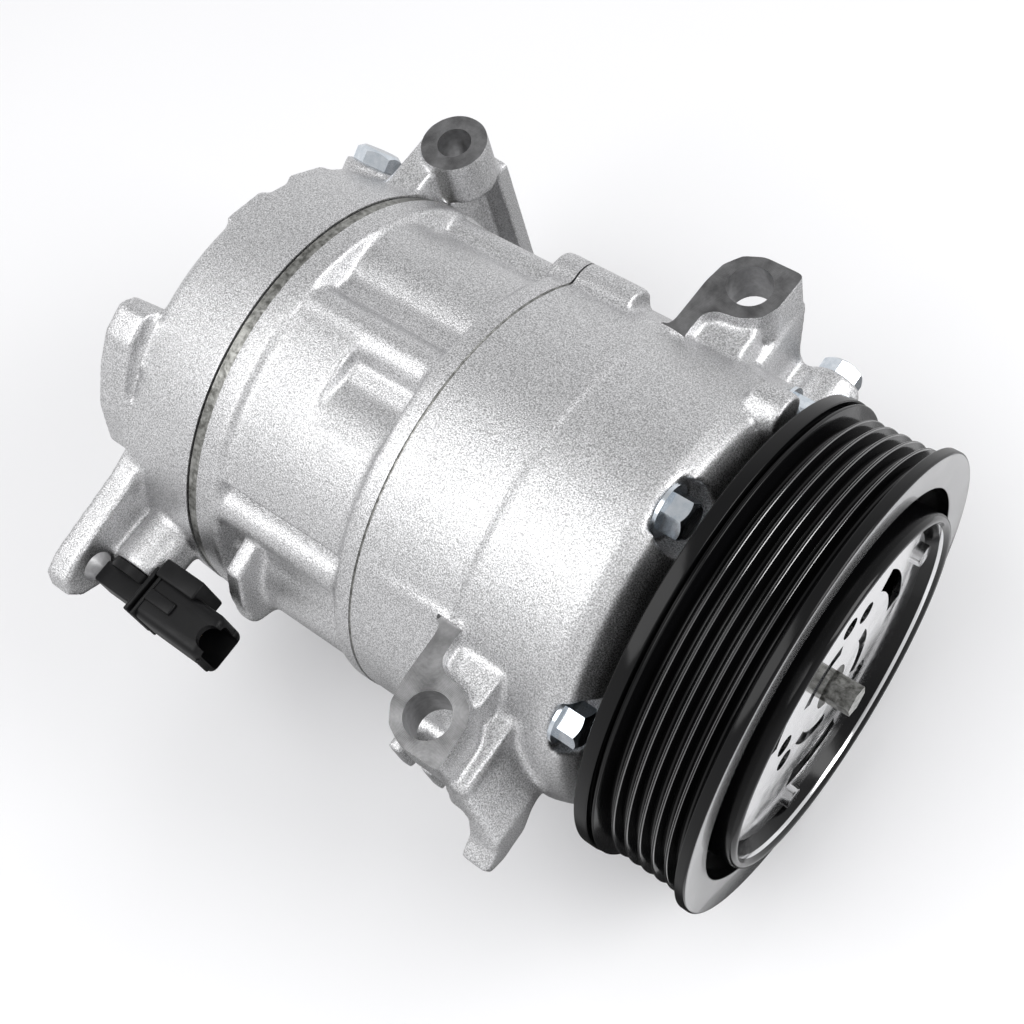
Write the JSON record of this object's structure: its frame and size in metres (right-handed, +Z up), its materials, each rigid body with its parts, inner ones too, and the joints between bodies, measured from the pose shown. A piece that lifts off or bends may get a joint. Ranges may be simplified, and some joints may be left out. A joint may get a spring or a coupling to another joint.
{
  "type": "automotive ac compressor",
  "caption": "Swash-plate air-conditioning compressor with a ribbed belt pulley, cast alloy casings, bolt-through mounting ears and an electric control valve.",
  "frame": {"origin": "on the shaft axis in the belt's centre plane", "axes": "+X along the shaft out of the pulley, +Z up along the mounting ear holes, +Y towards the hose ports"},
  "size_m": [0.193, 0.1622, 0.1236],
  "materials": {
    "cast_alloy": "shot-blasted die casting",
    "zinc_steel": "zinc plated",
    "black_coating": "gloss black coating",
    "bright_steel": "pressed, bright",
    "black_plastic": "moulded",
    "seal_rubber": "plain",
    "white_plastic": "moulded",
    "piston_alloy": "turned",
    "contact_brass": "plated",
    "machined_steel": "ground"
  },
  "bodies": {
    "casing": {"bearing_inner_ring": "machined_steel", "bearing_snap_ring": "machined_steel", "block_gasket": "seal_rubber", "connector_pins": "contact_brass", "control_valve_body": "bright_steel", "control_valve_o_rings": "seal_rubber", "crankcase_gasket": "machined_steel", "cylinder_block": "cast_alloy", "discharge_reed": "machined_steel", "front_housing": "cast_alloy", "front_radial_bearing": "machined_steel", "front_thrust_bearing": "machined_steel", "head_gasket": "seal_rubber", "housing_bolts": "zinc_steel", "oil_plug": "zinc_steel", "pressure_relief_valve": "zinc_steel", "rear_housing": "cast_alloy", "rear_radial_bearing": "machined_steel", "reed_retainer": "machined_steel", "seal_snap_ring": "machined_steel", "shaft_seal": "seal_rubber", "suction_reed": "machined_steel", "valve_connector": "black_plastic", "valve_plate": "machined_steel"},
    "drive": {"pulley": "black_coating", "bearing_outer_ring": "machined_steel", "bearing_seals": "seal_rubber", "damper_rubber": "seal_rubber", "hub_ring": "black_coating", "hub_plate": "bright_steel", "hub_rivets": "bright_steel", "drive_shaft": "machined_steel", "rotor_lug_plate": "machined_steel"},
    "bearing_cage_set": {"bearing_balls": "machined_steel", "bearing_cage": "white_plastic"},
    "swash": {"swash_plate": "machined_steel"},
    "valve_plunger": {"control_valve_plunger": "machined_steel"},
    "piston_1": {"piston_1": "piston_alloy", "piston_ring_1": "white_plastic"},
    "shoes_1": {"shoe_pair_1": "machined_steel"},
    "piston_2": {"piston_2": "piston_alloy", "piston_ring_2": "white_plastic"},
    "shoes_2": {"shoe_pair_2": "machined_steel"},
    "piston_3": {"piston_3": "piston_alloy", "piston_ring_3": "white_plastic"},
    "shoes_3": {"shoe_pair_3": "machined_steel"},
    "piston_4": {"piston_4": "piston_alloy", "piston_ring_4": "white_plastic"},
    "shoes_4": {"shoe_pair_4": "machined_steel"},
    "piston_5": {"piston_5": "piston_alloy", "piston_ring_5": "white_plastic"},
    "shoes_5": {"shoe_pair_5": "machined_steel"},
    "piston_6": {"piston_6": "piston_alloy", "piston_ring_6": "white_plastic"},
    "shoes_6": {"shoe_pair_6": "machined_steel"}
  },
  "joints": [
    {"name": "pulley_spin", "type": "hinge", "parent": "casing", "child": "drive", "pos_m": [0, 0, 0], "axis": [1, 0, 0], "continuous": true},
    {"name": "bearing_cage_spin", "type": "hinge", "parent": "casing", "child": "bearing_cage_set", "pos_m": [0, 0, 0], "axis": [1, 0, 0], "continuous": true},
    {"name": "swash_tilt", "type": "hinge", "parent": "casing", "child": "swash", "pos_m": [-0.076, 0, 0.036], "axis": [0, -1, 0], "range_deg": [0, 18]},
    {"name": "valve_plunger_slide", "type": "slide", "parent": "casing", "child": "valve_plunger", "axis": [0, 1, 0], "range_m": [0, 0.0012]},
    {"name": "piston_1_slide", "type": "slide", "parent": "casing", "child": "piston_1", "axis": [1, 0, 0], "range_m": [0, 0.00157]},
    {"name": "shoes_1_tilt", "type": "hinge", "parent": "piston_1", "child": "shoes_1", "pos_m": [-0.076, -0.018, 0.03118], "axis": [0, -1, 0], "range_deg": [0, 18]},
    {"name": "piston_2_slide", "type": "slide", "parent": "casing", "child": "piston_2", "axis": [1, 0, 0], "range_m": [0, 0.0117]},
    {"name": "shoes_2_tilt", "type": "hinge", "parent": "piston_2", "child": "shoes_2", "pos_m": [-0.076, -0.036, 0], "axis": [0, -1, 0], "range_deg": [0, 18]},
    {"name": "piston_3_slide", "type": "slide", "parent": "casing", "child": "piston_3", "axis": [1, 0, 0], "range_m": [0, 0.02183]},
    {"name": "shoes_3_tilt", "type": "hinge", "parent": "piston_3", "child": "shoes_3", "pos_m": [-0.076, -0.018, -0.03118], "axis": [0, -1, 0], "range_deg": [0, 18]},
    {"name": "piston_4_slide", "type": "slide", "parent": "casing", "child": "piston_4", "axis": [1, 0, 0], "range_m": [0, 0.02183]},
    {"name": "shoes_4_tilt", "type": "hinge", "parent": "piston_4", "child": "shoes_4", "pos_m": [-0.076, 0.018, -0.03118], "axis": [0, -1, 0], "range_deg": [0, 18]},
    {"name": "piston_5_slide", "type": "slide", "parent": "casing", "child": "piston_5", "axis": [1, 0, 0], "range_m": [0, 0.0117]},
    {"name": "shoes_5_tilt", "type": "hinge", "parent": "piston_5", "child": "shoes_5", "pos_m": [-0.076, 0.036, 0], "axis": [0, -1, 0], "range_deg": [0, 18]},
    {"name": "piston_6_slide", "type": "slide", "parent": "casing", "child": "piston_6", "axis": [1, 0, 0], "range_m": [0, 0.00157]},
    {"name": "shoes_6_tilt", "type": "hinge", "parent": "piston_6", "child": "shoes_6", "pos_m": [-0.076, 0.018, 0.03118], "axis": [0, -1, 0], "range_deg": [0, 18]}
  ],
  "couplings": [
    {"joint": "bearing_cage_spin", "follows": "pulley_spin", "ratio": 0.5552},
    {"joint": "piston_1_slide", "follows": "swash_tilt", "m_per_rad": 0.004988},
    {"joint": "shoes_1_tilt", "follows": "swash_tilt", "ratio": 1},
    {"joint": "piston_2_slide", "follows": "swash_tilt", "m_per_rad": 0.037233},
    {"joint": "shoes_2_tilt", "follows": "swash_tilt", "ratio": 1},
    {"joint": "piston_3_slide", "follows": "swash_tilt", "m_per_rad": 0.069478},
    {"joint": "shoes_3_tilt", "follows": "swash_tilt", "ratio": 1},
    {"joint": "piston_4_slide", "follows": "swash_tilt", "m_per_rad": 0.069478},
    {"joint": "shoes_4_tilt", "follows": "swash_tilt", "ratio": 1},
    {"joint": "piston_5_slide", "follows": "swash_tilt", "m_per_rad": 0.037233},
    {"joint": "shoes_5_tilt", "follows": "swash_tilt", "ratio": 1},
    {"joint": "piston_6_slide", "follows": "swash_tilt", "m_per_rad": 0.004988},
    {"joint": "shoes_6_tilt", "follows": "swash_tilt", "ratio": 1}
  ]
}
